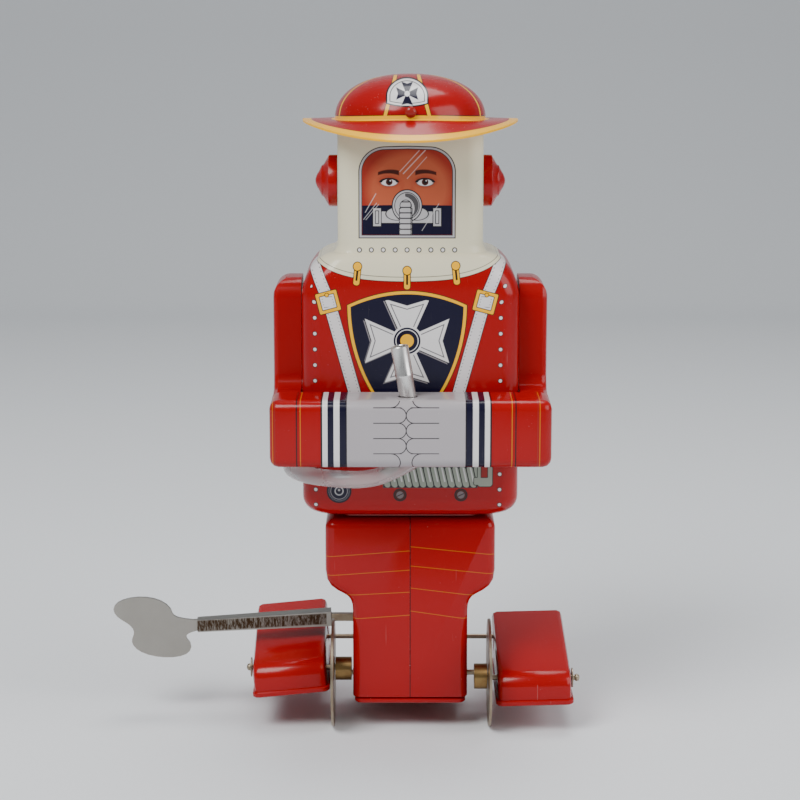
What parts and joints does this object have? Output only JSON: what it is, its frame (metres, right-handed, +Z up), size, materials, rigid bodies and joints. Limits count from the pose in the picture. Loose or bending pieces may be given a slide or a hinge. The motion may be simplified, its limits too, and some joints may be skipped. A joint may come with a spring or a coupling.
{
  "type": "wind-up walking toy robot",
  "caption": "Tin wind-up fireman robot that rolls on thin driven wheels while crank pins make its hollow shoes step, with a side winding key, a folded-arm fire hose and a brimmed helmet.",
  "frame": {"origin": "middle of the bounding box of the whole robot with its key, on the floor that its wheels and roller stand on", "axes": "+Z up; -Y is the way that the robot faces; +X is its left hand side, and the winding key sticks out towards -X"},
  "size_m": [0.1448, 0.0786, 0.1991],
  "materials": {
    "red_tinplate": "gloss red lacquer over tinplate, lightly worn at the edges",
    "printed_tinplate": "glossy lithographed tinplate in red, cream, navy, white, grey and gold",
    "bare_steel": "plain steel, slightly tarnished",
    "nickelled_steel": "worn nickelled sheet steel",
    "brass": "dull turned brass",
    "aluminium": "satin aluminium tube",
    "clear_vinyl": "translucent soft vinyl hose, slightly yellowed"
  },
  "bodies": {
    "robot": {"helmet": "printed_tinplate", "helmet_rivet": "red_tinplate", "body_front_shell": "printed_tinplate", "body_back_shell": "printed_tinplate", "ear_left": "red_tinplate", "ear_right": "red_tinplate", "upper_arm_left": "red_tinplate", "upper_arm_right": "red_tinplate", "forearm_front_shell": "printed_tinplate", "forearm_back_plate": "red_tinplate", "nozzle": "aluminium", "hose": "clear_vinyl", "hose_socket": "aluminium", "hose_elbow": "aluminium", "waist_plate": "red_tinplate", "leg_shell_left": "red_tinplate", "leg_shell_right": "red_tinplate", "base_plate": "red_tinplate", "motor_plate_left": "bare_steel", "motor_plate_right": "bare_steel", "pillar_rear_low": "bare_steel", "pillar_front": "bare_steel", "pillar_rear_top": "bare_steel", "guide_stud_left": "bare_steel", "guide_stud_right": "bare_steel", "spring_post": "bare_steel", "mainspring": "bare_steel", "roller_axle": "bare_steel"},
    "drive": {"drive_axle": "bare_steel", "drive_pinion": "brass", "wheel_left": "bare_steel", "wheel_boss_left": "brass", "crank_pin_left": "bare_steel", "washer_left": "bare_steel", "wheel_right": "bare_steel", "wheel_boss_right": "brass", "crank_pin_right": "bare_steel", "washer_right": "bare_steel"},
    "shoe_left": {"shoe_shell_left": "red_tinplate", "shoe_sole_left": "red_tinplate"},
    "shoe_right": {"shoe_shell_right": "red_tinplate", "shoe_sole_right": "red_tinplate"},
    "great_wheel": {"great_wheel": "brass", "click_rivet": "bare_steel", "click_spring": "bare_steel"},
    "key": {"winding_key": "nickelled_steel", "key_arbor": "bare_steel", "ratchet_wheel": "bare_steel"},
    "click": {"click": "bare_steel"},
    "idler": {"idler_arbor": "bare_steel", "idler_pinion": "brass", "idler_gear": "brass"},
    "governor": {"governor_arbor": "bare_steel", "governor_pinion": "brass", "star_wheel": "brass"},
    "pallet": {"pallet_arbor": "bare_steel", "pallet": "bare_steel"},
    "rear_roller": {"rear_roller": "bare_steel"}
  },
  "joints": [
    {"name": "drive_spin", "type": "hinge", "parent": "robot", "child": "drive", "pos_m": [0.02017, -0.01125, 0.0165], "axis": [1, 0, 0], "continuous": true},
    {"name": "shoe_left_crank", "type": "hinge", "parent": "drive", "child": "shoe_left", "pos_m": [0.02017, -0.01316, 0.0154], "axis": [1, 0, 0], "continuous": true},
    {"name": "shoe_right_crank", "type": "hinge", "parent": "drive", "child": "shoe_right", "pos_m": [0.02017, -0.00934, 0.0176], "axis": [1, 0, 0], "continuous": true},
    {"name": "great_wheel_spin", "type": "hinge", "parent": "robot", "child": "great_wheel", "pos_m": [0.02017, 0.00075, 0.03091], "axis": [1, 0, 0], "continuous": true},
    {"name": "key_turn", "type": "hinge", "parent": "great_wheel", "child": "key", "pos_m": [0.02017, 0.00075, 0.03091], "axis": [1, 0, 0], "continuous": true},
    {"name": "click_lift", "type": "hinge", "parent": "great_wheel", "child": "click", "pos_m": [0.02317, 0.00815, 0.03631], "axis": [1, 0, 0], "range_deg": [-7, 0], "stiffness_Nm_per_rad": 0.00002},
    {"name": "idler_spin", "type": "hinge", "parent": "robot", "child": "idler", "pos_m": [0.02017, 0.00675, 0.04867], "axis": [1, 0, 0], "continuous": true},
    {"name": "governor_spin", "type": "hinge", "parent": "robot", "child": "governor", "pos_m": [0.02017, -0.00425, 0.05347], "axis": [1, 0, 0], "continuous": true},
    {"name": "pallet_rock", "type": "hinge", "parent": "robot", "child": "pallet", "pos_m": [0.02017, -0.00425, 0.06087], "axis": [1, 0, 0], "range_deg": [-6, 6]},
    {"name": "roller_spin", "type": "hinge", "parent": "robot", "child": "rear_roller", "pos_m": [0.02017, 0.01375, 0.004], "axis": [1, 0, 0], "continuous": true}
  ],
  "couplings": [
    {"joint": "shoe_left_crank", "follows": "drive_spin", "ratio": -1},
    {"joint": "shoe_right_crank", "follows": "drive_spin", "ratio": -1},
    {"joint": "great_wheel_spin", "follows": "drive_spin", "ratio": -0.25},
    {"joint": "idler_spin", "follows": "drive_spin", "ratio": 1},
    {"joint": "governor_spin", "follows": "drive_spin", "ratio": -4}
  ]
}
